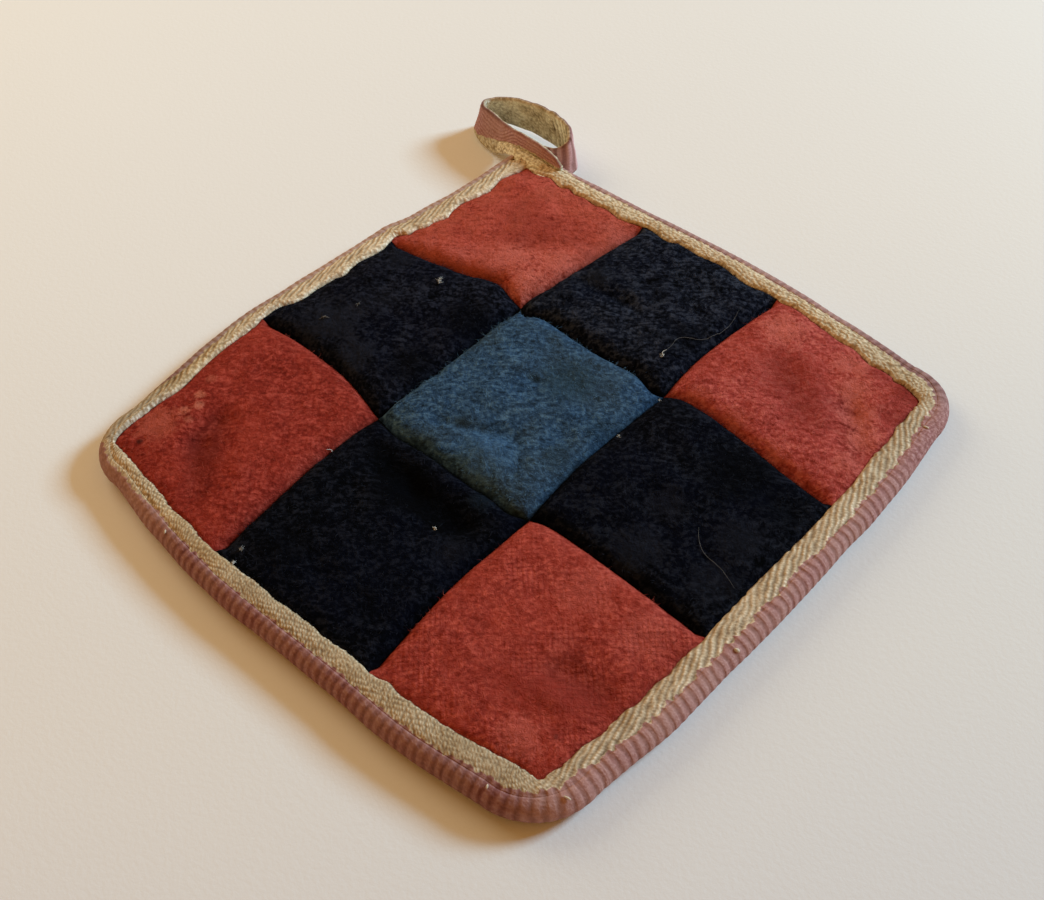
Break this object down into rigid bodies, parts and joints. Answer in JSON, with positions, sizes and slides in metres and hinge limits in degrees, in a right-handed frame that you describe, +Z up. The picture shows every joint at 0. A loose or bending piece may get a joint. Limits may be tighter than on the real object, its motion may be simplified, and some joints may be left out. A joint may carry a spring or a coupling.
{
  "type": "quilted pot holder",
  "caption": "Square quilted wool patchwork pot holder with crowned patches, a folded twill tape edge and a corner hanging loop.",
  "frame": {"origin": "on the flat underside, below the middle of the nine-patch field", "axes": "+Z up out of the quilted top; the sides of the square run along X and Y, and the hanging loop leaves the corner at -X, +Y"},
  "size_m": [0.1829, 0.1799, 0.0131],
  "materials": {
    "wool_patches": "fulled wool with a short nap, in red, navy and blue patches",
    "twill_tape": "woven twill tape, tan margins and a ribbed pink middle",
    "loop_tape": "woven twill tape, ribbed pink outside and tan twill inside"
  },
  "bodies": {
    "root": {"pad": "wool_patches", "binding": "twill_tape", "hanging_loop": "loop_tape"}
  },
  "joints": []
}
